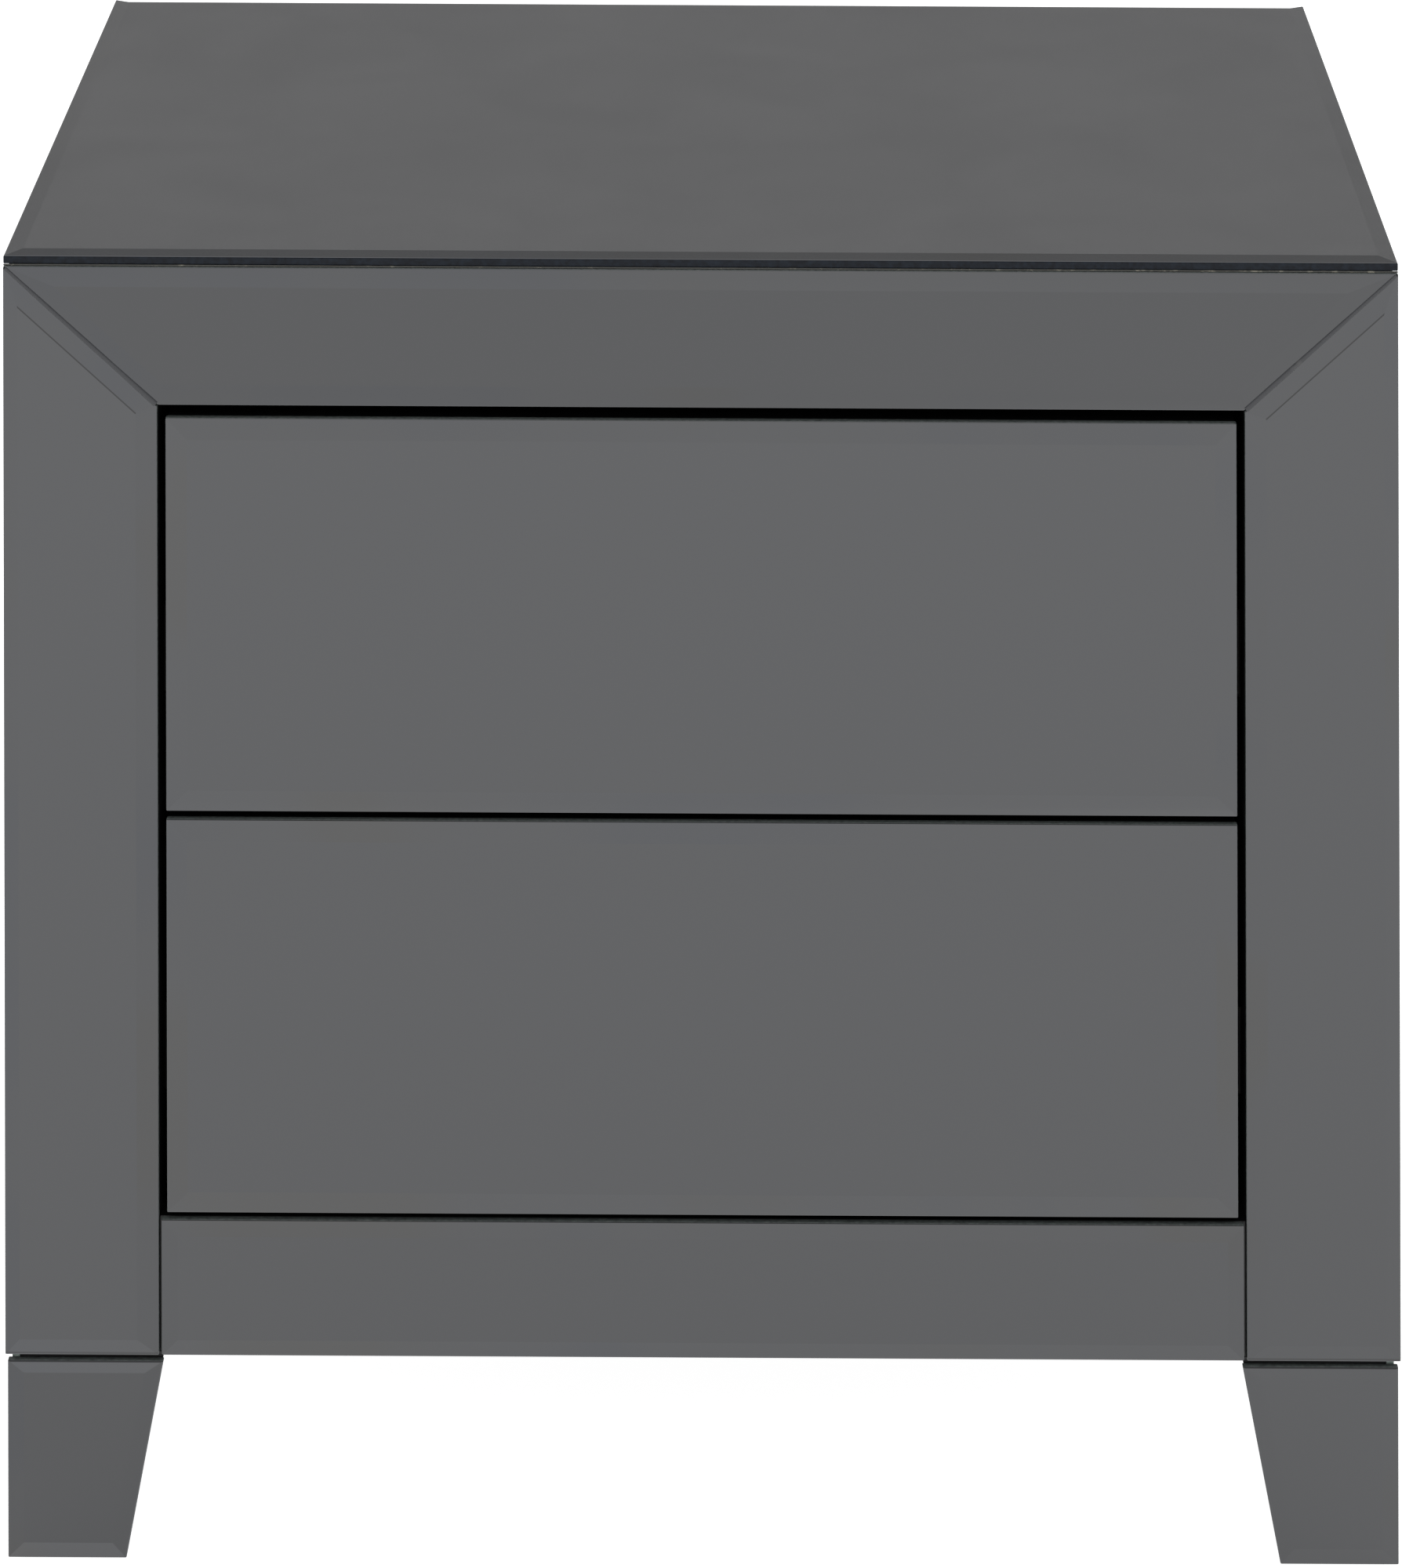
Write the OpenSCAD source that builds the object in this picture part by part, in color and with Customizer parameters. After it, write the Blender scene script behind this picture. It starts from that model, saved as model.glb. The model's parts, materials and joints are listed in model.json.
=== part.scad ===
// Two-drawer nightstand clad in bevelled smoked mirror.
// Millimetres, +Z up. Origin on the floor, midway across the width and the depth.
// The front faces -Y. Left and right are as seen from the front.

/* [Overall] */
// Width across the front mirrors
overall_w = 550; // [460:1:700]
// Depth from the front mirrors to the back edge of the top
overall_d = 380; // [380:1:460]
// Height from the floor to the top mirror
overall_h = 515; // [505:1:620]

/* [Mirror glass] */
// Thickness of every mirror
glass_t = 4; // [3:0.5:5]
// How far a bevel falls by the time it reaches the edge
bevel_drop = 0.9; // [0.5:0.1:1.4]
// Bevel width round the top and the sides of the cabinet
bevel_top = 7; // [4:0.1:15]
// Bevel width round the drawer fronts and beside the drawer opening
bevel_drawer = 8.4; // [4:0.1:15]
// Bevel width along the mitred joints
bevel_mitre = 7.6; // [4:0.1:12]
// Bevel width along the outer edges of the stiles
bevel_outer = 5.8; // [4:0.1:12]
// Bevel width on the bottom rail, the stile ends and the feet
bevel_small = 6.4; // [4:0.1:10]

/* [Front frame] */
// Width of each stile
stile_w = 60.6; // [50:0.2:80]
// Height of the top rail
top_rail_h = 54.3; // [40:0.1:80]
// Height of the bottom rail
bottom_rail_h = 53.5; // [40:0.5:80]
// Gap across each mitred joint
mitre_gap = 0.5; // [0.4:0.1:2]
// Gap between the bottom rail's mirror and each stile's
seam_gap = 1.1; // [0.4:0.1:2]

/* [Drawer fronts] */
// Gap on each side of a drawer front
side_gap = 3.35; // [2:0.05:5]
// Gap above the upper front
top_gap = 5; // [2:0.1:8]
// Gap between the two fronts
middle_gap = 3.2; // [2:0.1:6]
// Gap below the lower front
bottom_gap = 2.8; // [2:0.1:6]

/* [Feet] */
// Height of a foot without its felt pad
foot_h = 80; // [60:1:120]
// Width of a foot at the top
foot_top_w = 61.4; // [55:0.2:75]
// Width of a foot at the floor
foot_bottom_w = 46.6; // [40:0.2:60]
// Thickness of the boards in a foot
foot_board_t = 12; // [9:1:15]
// Shadow gap between a stile's mirror and the foot's
foot_gap = 2.2; // [1:0.1:4]
// Thickness of the felt pads
pad_h = 1.5; // [1:0.1:4]

/* [Cabinet boards] */
// Thickness of the cabinet boards and drawer fronts
board_t = 15; // [12:1:18]
// Thickness of the panels that carry the slides
runner_t = 12; // [9:1:15]
// Thickness of the back panel
back_t = 5; // [3:0.5:8]

/* [Drawer boxes] */
// Height of a drawer box
box_h = 120; // [90:1:130]
// Length of a drawer box
box_len = 300; // [280:1:305]
// Thickness of a box's sides, back and inner front
box_t = 12; // [10:1:15]
// Thickness of a drawer bottom
bottom_t = 5; // [3:0.5:6]
// Height of a box above the lower edge of its front
box_lift = 14; // [10:1:20]

/* [Slides] */
// How far a drawer opens
drawer_travel = 225; // [150:5:225]
// Diameter of the bearing balls
ball_d = 3.5; // [3.5:0.1:3.6]

/* [Hidden] */

$fn = 48;
smoke = "#636568";
black_paint = "#1b1b1d";
black_lacquer = "#2a2a2c";
black_zinc = "#2c2d2f";
steel = "#8d9094";
grey_plastic = "#9a9c9e";
felt = "#3a3a3c";

// Main planes
front_y = -overall_d / 2;
frame_y = front_y + glass_t;
carcass_y = frame_y + board_t;
rear_y = overall_d / 2;
screw_head_t = 1.2;
back_y = rear_y - screw_head_t - back_t;
top_setback = 2;
glue_gap = 0.7;
foot_side_gap = 0.2;
side_inset = 0.9;
half_w = overall_w / 2;
side_x = half_w - side_inset - glass_t;
panel_x = side_x - board_t;
open_x = half_w - stile_w;
carcass_z = pad_h + foot_h;
top_z = overall_h - glass_t;
frame_top_z = top_z - glue_gap;
panel_z = top_z - board_t;
open_top_z = frame_top_z - top_rail_h;
open_bottom_z = carcass_z + bottom_rail_h;

// Drawer fronts and boxes: level 0 is the lower drawer, level 1 the upper
lower = 0;
upper = 1;
front_h = (open_top_z - top_gap - middle_gap - bottom_gap - open_bottom_z) / 2;
front_half = open_x - side_gap;
board_inset = 0.5;
slide_space = 12.7;
box_x = open_x - slide_space;
box_in_x = box_x - box_t;
box_back_y = carcass_y + box_len;
groove = 6;
groove_lift = 8;
groove_play = 0.1;
function front_z(level) = open_bottom_z + bottom_gap + level * (front_h + middle_gap);
function box_z(level) = front_z(level) + box_lift;

// Slides: profile coordinates run from the runner panel's face towards the drawer
sheet_t = 1.2;
slide_h = 35;
slide_lift = 42;
slide_setback = 4;
slide_len = box_len - slide_setback;
slide_front_y = carcass_y + slide_setback;
ball_x = 6.4;
raceway_depth = 0.5;
race_r = ball_d / 2 + 0.03;
race_z = slide_h / 2 - sheet_t + raceway_depth - ball_d / 2;
inner_h = 2 * (race_z - ball_d / 2 + raceway_depth);
cage_rear_gap = 2;
cage_front_gap = 11.5;
cage_len = slide_len - drawer_travel / 2 - cage_rear_gap - cage_front_gap;
cage_t = 0.6;
cage_x = 2.4;
ball_pitch = 19;
ball_margin = 8;
ball_count = floor((cage_len - ball_margin) / ball_pitch) + 1;
function slide_z(level) = box_z(level) + slide_lift;

// Push latches, on the right runner panel behind each box's right side
latch_gap = 2.8;
latch_x = box_x - box_t / 2;
plunger_y = box_back_y + latch_gap;
plunger_r = 3.95;
bore_r = 4;
head_r = 5;
head_len = 3;
latch_body_y = plunger_y + head_len + 3.5;
latch_body_len = 44;
latch_half = 6.5;
flange_t = 3;
function latch_z(level) = box_z(level) + box_h / 2;

// Feet, in their own frame: u runs inwards from the outer edge, v from the front or the back
foot_x = half_w - 1;
foot_side_u = 0.5;
foot_core_u = foot_side_u + glass_t;
foot_slope = (foot_top_w - foot_bottom_w) / (foot_h - foot_gap);
block_leg = 38;
block_h = 25;
front_foot_v = glass_t;
rear_foot_v = screw_head_t;

// Screws
screw_r = 1.75;
screw_hole_r = 2;
screw_head_r = 3.4;
rail_head_t = 0.8;
rail_screw_y = [30, 150, 270];
drawer_screw_y = [30, 210];
front_screw_x = 150;
front_screw_z = [32, 92];
latch_screw_z = 12;
foot_screw_in = foot_core_u + foot_board_t + 11;
back_screw_x = side_x - board_t / 2;
back_screw_low = carcass_z + board_t / 2;
back_screw_high = top_z - board_t / 2;
back_screws_xz = concat(
  [for (side = [-1, 1], share = [0.06, 0.5, 0.94])
    [side * back_screw_x, back_screw_low + share * (back_screw_high - back_screw_low)]],
  [for (share = [-0.65, 0, 0.65], z = [back_screw_low, back_screw_high])
    [share * back_screw_x, z]]);

// ---------- shared shapes ----------

module box_between(low, high) {
  translate(low) cube(high - low);
}

module left_and_right() {
  children();
  mirror([1, 0, 0]) children();
}

// Unit normal of the edge p to q, pointing to its left
function left_normal(p, q) = [p[1] - q[1], q[0] - p[0]] / norm(q - p);

// The point at distance v from the edge before b and w from the edge after it
function inset_corner(a, b, c, v, w) =
  let (m = left_normal(a, b), n = left_normal(b, c))
    b + [v * n[1] - w * m[1], w * m[0] - v * n[0]] / (m[0] * n[1] - m[1] * n[0]);

// A mirror: silvered face at z = 0, bevelled face at z = glass_t.
// The outline runs anticlockwise, and widths[i] is the bevel from point i to the next.
module bevelled_mirror(outline, widths) {
  count = len(outline);
  edge_z = glass_t - bevel_drop;
  inner = [for (i = [0 : count - 1])
    let (before = (i + count - 1) % count)
      inset_corner(outline[before], outline[i], outline[(i + 1) % count], widths[before], widths[i])];
  rings = concat([for (p = outline) [p[0], p[1], 0]],
                 [for (p = outline) [p[0], p[1], edge_z]],
                 [for (p = inner) [p[0], p[1], glass_t]]);
  walls = [for (ring = [0, 1], i = [0 : count - 1])
    let (a = ring * count + i, b = ring * count + (i + 1) % count) [b, a, a + count, b + count]];
  color(smoke)
    polyhedron(rings, concat([[for (i = [0 : count - 1]) i]], walls,
                             [[for (i = [count - 1 : -1 : 0]) 2 * count + i]]));
}

function rectangle(x0, y0, x1, y1) = [[x0, y0], [x1, y0], [x1, y1], [x0, y1]];

// Stands a plate drawn in (x, z) up as a front mirror
module on_front() {
  translate([0, frame_y, 0]) rotate([90, 0, 0]) children();
}

// Stands a plate drawn in (y, z) up as the right side's mirror, its back at x
module on_right_side(x) {
  translate([x, 0, 0]) rotate([90, 0, 90]) children();
}

// A screw along Z: head from 0 up to head_t, shank downwards
module screw(head_t, shank_len) {
  slot = 0.8;
  difference() {
    cylinder(r1 = screw_head_r, r2 = screw_head_r - 0.5, h = head_t);
    for (turn = [0, 90])
      rotate([0, 0, turn])
        translate([-1.8, -slot / 2, head_t / 2]) cube([3.6, slot, head_t]);
  }
  translate([0, 0, -shank_len]) cylinder(r = screw_r, h = shank_len);
}

// Clearance hole for a screw along Z, reaching the same depth above and below
module screw_hole(depth) {
  cylinder(r = screw_hole_r, h = 2 * depth, center = true);
}

// ---------- cabinet boards ----------

module top_panel() {
  color(black_paint)
    box_between([-side_x, frame_y, panel_z], [side_x, back_y, top_z]);
}

module bottom_panel() {
  color(black_paint)
    box_between([-panel_x, carcass_y, carcass_z], [panel_x, back_y, carcass_z + board_t]);
}

module right_side_panel() {
  color(black_paint)
    box_between([panel_x, carcass_y, carcass_z], [side_x, back_y, panel_z]);
}

module right_runner_panel() {
  color(black_paint)
    box_between([open_x, carcass_y, carcass_z + board_t], [open_x + runner_t, back_y, panel_z]);
}

module right_stile() {
  color(black_paint)
    box_between([open_x, frame_y, carcass_z], [side_x, carcass_y, panel_z]);
}

module top_rail() {
  color(black_paint)
    box_between([-open_x, frame_y, open_top_z], [open_x, carcass_y, panel_z]);
}

module bottom_rail() {
  color(black_paint)
    box_between([-open_x, frame_y, carcass_z], [open_x, carcass_y, open_bottom_z]);
}

module back_panel() {
  color(black_paint)
    difference() {
      box_between([-side_x, back_y, carcass_z], [side_x, back_y + back_t, top_z]);
      for (xz = back_screws_xz)
        translate([xz[0], back_y, xz[1]]) rotate([90, 0, 0]) screw_hole(2 * back_t);
    }
}

// ---------- cabinet mirrors ----------

module top_mirror() {
  translate([0, 0, top_z])
    bevelled_mirror(rectangle(-half_w, front_y + top_setback, half_w, rear_y),
                    [bevel_top, bevel_top, bevel_top, bevel_top]);
}

module right_side_mirror() {
  on_right_side(side_x)
    bevelled_mirror(rectangle(frame_y, carcass_z, rear_y, frame_top_z),
                    [bevel_top, bevel_top, bevel_top, bevel_top]);
}

// The mitre runs from the frame's outer top corner to the opening's corner.
mitre_len = norm([stile_w, top_rail_h]);
stile_drop = mitre_gap / 2 * mitre_len / stile_w;
rail_shift = mitre_gap / 2 * mitre_len / top_rail_h;

module right_stile_mirror() {
  on_front()
    bevelled_mirror([[open_x, carcass_z], [half_w, carcass_z],
                     [half_w, frame_top_z - stile_drop], [open_x, open_top_z - stile_drop]],
                    [bevel_small, bevel_outer, bevel_mitre, bevel_drawer]);
}

module top_rail_mirror() {
  on_front()
    bevelled_mirror([[-open_x + rail_shift, open_top_z], [open_x - rail_shift, open_top_z],
                     [half_w - rail_shift, frame_top_z], [-half_w + rail_shift, frame_top_z]],
                    [bevel_drawer, bevel_mitre, bevel_mitre, bevel_mitre]);
}

module bottom_rail_mirror() {
  on_front()
    bevelled_mirror(rectangle(-open_x + seam_gap, carcass_z, open_x - seam_gap, open_bottom_z),
                    [bevel_small, bevel_small, bevel_small, bevel_small]);
}

// ---------- feet ----------

// Moves a foot drawn in (u, v, z) to the cabinet's front-right or rear-right corner
module at_corner(rear) {
  mirror([0, rear ? 1 : 0, 0])
    translate([foot_x, front_y, pad_h])
      mirror([1, 0, 0]) children();
}

// The tapered face of a foot, from u0 to its slanting edge, drawn in (u, z)
module foot_face(u0, height) {
  edge = foot_bottom_w - board_inset;
  polygon([[u0, 0], [edge, 0], [edge + foot_slope * height, height], [u0, height]]);
}

// One glued-up foot: two tapered boards in an L, with a block in the corner
module foot_core(v0) {
  color(black_paint)
    difference() {
      union() {
        translate([0, v0 + foot_board_t, 0])
          rotate([90, 0, 0]) linear_extrude(foot_board_t) foot_face(foot_core_u, foot_h);
        translate([foot_core_u, 0, 0])
          rotate([90, 0, 90]) linear_extrude(foot_board_t) foot_face(v0, foot_h);
        translate([foot_core_u + foot_board_t, v0 + foot_board_t, foot_h - block_h])
          linear_extrude(block_h) polygon([[0, 0], [block_leg, 0], [0, block_leg]]);
      }
      translate([foot_screw_in, foot_screw_in, foot_h]) screw_hole(2 * block_h);
    }
}

module right_foot(rear) {
  at_corner(rear) foot_core(rear ? rear_foot_v : front_foot_v);
}

module front_right_foot_mirror() {
  height = foot_h - foot_gap;
  on_front()
    translate([foot_x, pad_h])
      bevelled_mirror([[-foot_bottom_w, 0], [0, 0], [0, height], [-foot_top_w, height]],
                      [bevel_small, bevel_small, 0.7 * bevel_small, bevel_small]);
}

module right_foot_side_mirror(rear) {
  height = foot_h - foot_side_gap;
  v0 = rear ? rear_foot_v : front_foot_v;
  face = [[v0, 0], [foot_bottom_w, 0], [foot_bottom_w + foot_slope * height, height], [v0, height]];
  mirror([0, rear ? 1 : 0, 0])
    translate([0, front_y, pad_h])
      on_right_side(foot_x - foot_core_u)
        bevelled_mirror(face, [bevel_small, bevel_small, bevel_small, bevel_small]);
}

module foot_pad(v0) {
  edge = 1;
  long = 44;
  u0 = foot_core_u + edge;
  u1 = foot_core_u + foot_board_t - edge;
  color(felt)
    translate([0, 0, -pad_h])
      linear_extrude(pad_h)
        polygon([[u0, v0 + edge], [long, v0 + edge], [long, v0 + foot_board_t - edge],
                 [u1, v0 + foot_board_t - edge], [u1, long], [u0, long]]);
}

module foot_pads() {
  left_and_right() {
    at_corner(false) foot_pad(front_foot_v);
    at_corner(true) foot_pad(rear_foot_v);
  }
}

// ---------- slides ----------

// Stands a slide profile up on the left runner panel
module on_left_runner(level, length) {
  translate([-open_x, slide_front_y + length, slide_z(level)])
    rotate([90, 0, 0]) linear_extrude(length) children();
}

module raceways() {
  for (side = [-1, 1])
    translate([ball_x, side * race_z]) circle(r = race_r, $fn = 32);
}

// Fixed channel, with a lip that keeps the balls in
module cabinet_rail_profile() {
  depth = 9.5;
  lip_t = 0.8;
  lip_h = 1;
  inside = slide_h / 2 - sheet_t;
  difference() {
    translate([0, -slide_h / 2]) square([depth, slide_h]);
    translate([sheet_t, -inside]) square([depth - sheet_t - lip_t, 2 * inside]);
    translate([sheet_t, -inside + lip_h]) square([depth, 2 * (inside - lip_h)]);
    raceways();
  }
}

// Moving channel, back to back with the fixed one
module drawer_rail_profile() {
  tip = 3.8;
  inside = inner_h / 2 - sheet_t;
  difference() {
    translate([tip, -inner_h / 2]) square([slide_space - tip, inner_h]);
    translate([0, -inside]) square([slide_space - sheet_t, 2 * inside]);
    raceways();
  }
}

// Holes through a web at x, one for each distance from the rail's front end
module rail_holes(level, x, distances) {
  for (y = distances)
    translate([x, slide_front_y + y, slide_z(level)]) rotate([0, 90, 0]) screw_hole(2 * sheet_t);
}

module left_cabinet_rail(level) {
  color(black_zinc)
    difference() {
      on_left_runner(level, slide_len) cabinet_rail_profile();
      rail_holes(level, -open_x, rail_screw_y);
    }
}

module left_drawer_rail(level) {
  color(black_zinc)
    difference() {
      on_left_runner(level, slide_len) drawer_rail_profile();
      rail_holes(level, -box_x, drawer_screw_y);
    }
}

// Row of ball centres along the cage, from its front end
function ball_y(i) = (cage_len - (ball_count - 1) * ball_pitch) / 2 + i * ball_pitch;

// A thin U that holds a row of balls above and a row below
module left_ball_cage(level) {
  cage_end = slide_front_y + slide_len - cage_rear_gap;
  arm = ball_x + ball_d / 2 - cage_x;
  translate([-open_x, cage_end - cage_len, slide_z(level)]) {
    color(black_zinc)
      difference() {
        union() {
          translate([cage_x, 0, -race_z]) cube([cage_t, cage_len, 2 * race_z]);
          for (side = [-1, 1])
            translate([cage_x, 0, side * race_z - cage_t / 2]) cube([arm, cage_len, cage_t]);
        }
        for (side = [-1, 1], i = [0 : ball_count - 1])
          translate([ball_x, ball_y(i), side * race_z - 1]) cylinder(r = race_r, h = 2, $fn = 32);
      }
    color(steel)
      for (side = [-1, 1], i = [0 : ball_count - 1])
        translate([ball_x, ball_y(i), side * race_z]) sphere(d = ball_d, $fn = 32);
  }
}

module ball_cages(level) {
  left_and_right() left_ball_cage(level);
}

// ---------- push latches ----------

// A moulded case with a round bore, on a flange screwed to the runner panel
module latch_housing(level) {
  flange_half = 17;
  rib_half = 4;
  color(grey_plastic)
    translate([0, latch_body_y, latch_z(level)])
      difference() {
        union() {
          box_between([latch_x - latch_half, 0, -latch_half],
                      [latch_x + latch_half, latch_body_len, latch_half]);
          box_between([latch_x + latch_half - 1, 2, -rib_half],
                      [open_x - flange_t + 1, latch_body_len - 2, rib_half]);
          box_between([open_x - flange_t, 2, -flange_half],
                      [open_x, latch_body_len - 2, flange_half]);
        }
        translate([latch_x, -1, 0])
          rotate([-90, 0, 0]) cylinder(r = bore_r, h = latch_body_len - 3);
        for (side = [-1, 1])
          translate([open_x, latch_body_len / 2, side * latch_screw_z])
            rotate([0, 90, 0]) screw_hole(2 * flange_t);
      }
}

module latch_plunger(level) {
  shaft_len = 36;
  color(grey_plastic)
    translate([latch_x, plunger_y, latch_z(level)])
      rotate([-90, 0, 0]) {
        cylinder(r = head_r, h = head_len);
        translate([0, 0, head_len]) cylinder(r = plunger_r, h = shaft_len);
      }
}

// ---------- drawers ----------

module drawer_mirror(level) {
  on_front()
    bevelled_mirror(rectangle(-front_half, front_z(level), front_half, front_z(level) + front_h),
                    [bevel_drawer, bevel_drawer, bevel_drawer, bevel_drawer]);
}

module drawer_front(level) {
  x = front_half - board_inset;
  color(black_paint)
    box_between([-x, frame_y, front_z(level) + board_inset],
                [x, carcass_y, front_z(level) + front_h - board_inset]);
}

// The slot round the inside of a box that the drawer bottom slides into
module bottom_groove(level) {
  box_between([-box_in_x - groove, carcass_y + box_t - groove, box_z(level) + groove_lift],
              [box_in_x + groove, box_back_y - box_t + groove,
               box_z(level) + groove_lift + bottom_t + groove_play]);
}

module drawer_bottom(level) {
  x = box_in_x + groove - groove_play;
  color(black_lacquer)
    box_between([-x, carcass_y + box_t - groove + groove_play, box_z(level) + groove_lift],
                [x, box_back_y - box_t + groove - groove_play,
                 box_z(level) + groove_lift + bottom_t]);
}

module drawer_right_side(level) {
  color(black_lacquer)
    difference() {
      box_between([box_in_x, carcass_y, box_z(level)],
                  [box_x, box_back_y, box_z(level) + box_h]);
      bottom_groove(level);
    }
}

// The inner front is the first cross board of a box, the back is the last
module box_cross_board(level, y) {
  color(black_lacquer)
    difference() {
      box_between([-box_in_x, y, box_z(level)], [box_in_x, y + box_t, box_z(level) + box_h]);
      bottom_groove(level);
    }
}

module drawer_inner_front(level) {
  difference() {
    box_cross_board(level, carcass_y);
    for (side = [-1, 1], dz = front_screw_z)
      translate([side * front_screw_x, carcass_y, box_z(level) + dz])
        rotate([90, 0, 0]) screw_hole(2 * box_t);
  }
}

module drawer_back(level) {
  box_cross_board(level, box_back_y - box_t);
}

// ---------- screws ----------

// Four screws hold the mirrored front to the inner front, two hold each rail
module drawer_screws(level) {
  color(steel) {
    for (side = [-1, 1], dz = front_screw_z)
      translate([side * front_screw_x, carcass_y + box_t, box_z(level) + dz])
        rotate([-90, 0, 0]) screw(screw_head_t, box_t + board_t - 4);
    left_and_right()
      for (y = drawer_screw_y)
        translate([-box_x - sheet_t, slide_front_y + y, slide_z(level)])
          rotate([0, -90, 0]) screw(rail_head_t, sheet_t + box_t - 3);
  }
}

module rail_screws(level) {
  left_and_right()
    for (y = rail_screw_y)
      translate([-open_x + sheet_t, slide_front_y + y, slide_z(level)])
        rotate([0, 90, 0]) screw(rail_head_t, sheet_t + runner_t - 2);
}

module latch_screws(level) {
  middle_y = latch_body_y + latch_body_len / 2;
  for (side = [-1, 1])
    translate([open_x - flange_t, middle_y, latch_z(level) + side * latch_screw_z])
      rotate([0, -90, 0]) screw(screw_head_t, flange_t + runner_t - 2);
}

module back_screws() {
  bite = 14;
  for (xz = back_screws_xz)
    translate([xz[0], back_y + back_t, xz[1]])
      rotate([-90, 0, 0]) screw(screw_head_t, back_t + bite);
}

module foot_screws() {
  left_and_right()
    for (rear = [false, true])
      at_corner(rear)
        translate([foot_screw_in, foot_screw_in, foot_h - block_h])
          mirror([0, 0, 1]) screw(screw_head_t, block_h + board_t - 4);
}

module cabinet_screws() {
  color(steel) {
    for (level = [lower, upper]) {
      rail_screws(level);
      latch_screws(level);
    }
    back_screws();
    foot_screws();
  }
}

// ---------- one line for each node ----------

top_panel();
bottom_panel();
mirror([1, 0, 0]) right_side_panel();  // left_side_panel
right_side_panel();
mirror([1, 0, 0]) right_runner_panel();  // left_runner_panel
right_runner_panel();
mirror([1, 0, 0]) right_stile();  // left_stile
right_stile();
top_rail();
bottom_rail();
back_panel();

top_mirror();
mirror([1, 0, 0]) right_side_mirror();  // left_side_mirror
right_side_mirror();
mirror([1, 0, 0]) right_stile_mirror();  // left_stile_mirror
right_stile_mirror();
top_rail_mirror();
bottom_rail_mirror();

mirror([1, 0, 0]) right_foot(false);  // front_left_foot
right_foot(false);  // front_right_foot
mirror([1, 0, 0]) right_foot(true);  // rear_left_foot
right_foot(true);  // rear_right_foot
mirror([1, 0, 0]) front_right_foot_mirror();  // front_left_foot_mirror
front_right_foot_mirror();
mirror([1, 0, 0]) right_foot_side_mirror(false);  // front_left_foot_side_mirror
right_foot_side_mirror(false);  // front_right_foot_side_mirror
mirror([1, 0, 0]) right_foot_side_mirror(true);  // rear_left_foot_side_mirror
right_foot_side_mirror(true);  // rear_right_foot_side_mirror
foot_pads();

left_cabinet_rail(upper);  // upper_left_cabinet_rail
mirror([1, 0, 0]) left_cabinet_rail(upper);  // upper_right_cabinet_rail
left_cabinet_rail(lower);  // lower_left_cabinet_rail
mirror([1, 0, 0]) left_cabinet_rail(lower);  // lower_right_cabinet_rail
latch_housing(upper);  // upper_latch_housing
latch_housing(lower);  // lower_latch_housing
cabinet_screws();

drawer_front(upper);  // upper_drawer_front
drawer_mirror(upper);  // upper_drawer_mirror
drawer_inner_front(upper);  // upper_drawer_inner_front
mirror([1, 0, 0]) drawer_right_side(upper);  // upper_drawer_left_side
drawer_right_side(upper);  // upper_drawer_right_side
drawer_back(upper);  // upper_drawer_back
drawer_bottom(upper);  // upper_drawer_bottom
left_drawer_rail(upper);  // upper_drawer_left_rail
mirror([1, 0, 0]) left_drawer_rail(upper);  // upper_drawer_right_rail
drawer_screws(upper);  // upper_drawer_screws

drawer_front(lower);  // lower_drawer_front
drawer_mirror(lower);  // lower_drawer_mirror
drawer_inner_front(lower);  // lower_drawer_inner_front
mirror([1, 0, 0]) drawer_right_side(lower);  // lower_drawer_left_side
drawer_right_side(lower);  // lower_drawer_right_side
drawer_back(lower);  // lower_drawer_back
drawer_bottom(lower);  // lower_drawer_bottom
left_drawer_rail(lower);  // lower_drawer_left_rail
mirror([1, 0, 0]) left_drawer_rail(lower);  // lower_drawer_right_rail
drawer_screws(lower);  // lower_drawer_screws

ball_cages(upper);  // upper_ball_cages
ball_cages(lower);  // lower_ball_cages
latch_plunger(upper);  // upper_latch_plunger
latch_plunger(lower);  // lower_latch_plunger
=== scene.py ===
# Nightstand with two drawers, clad in bevelled smoked mirror.
import json
import math

import bmesh
import bpy
from mathutils import Matrix, Vector, noise


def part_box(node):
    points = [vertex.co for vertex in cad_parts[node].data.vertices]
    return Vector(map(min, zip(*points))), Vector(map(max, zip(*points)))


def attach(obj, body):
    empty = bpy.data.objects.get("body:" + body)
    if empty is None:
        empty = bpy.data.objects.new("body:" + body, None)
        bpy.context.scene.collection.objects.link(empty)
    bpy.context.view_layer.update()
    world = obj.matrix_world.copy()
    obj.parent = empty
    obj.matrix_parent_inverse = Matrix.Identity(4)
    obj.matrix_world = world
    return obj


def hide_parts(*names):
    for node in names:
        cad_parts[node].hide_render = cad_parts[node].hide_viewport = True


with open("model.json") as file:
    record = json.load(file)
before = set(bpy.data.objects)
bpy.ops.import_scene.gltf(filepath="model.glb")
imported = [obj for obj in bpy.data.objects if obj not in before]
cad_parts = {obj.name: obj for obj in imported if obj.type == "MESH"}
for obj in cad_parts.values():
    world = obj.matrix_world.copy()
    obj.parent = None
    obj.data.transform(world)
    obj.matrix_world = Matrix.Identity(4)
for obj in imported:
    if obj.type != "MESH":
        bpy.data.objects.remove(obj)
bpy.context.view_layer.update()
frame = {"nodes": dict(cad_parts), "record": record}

scene = bpy.context.scene
scene.view_settings.view_transform = "Standard"
nodes = frame["nodes"]
bodies = frame["record"]["behaviour"]["bodies"]
bodyOf = {node: body for body, members in bodies.items() for node in members}
mm = 0.001


# Small helpers

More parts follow.
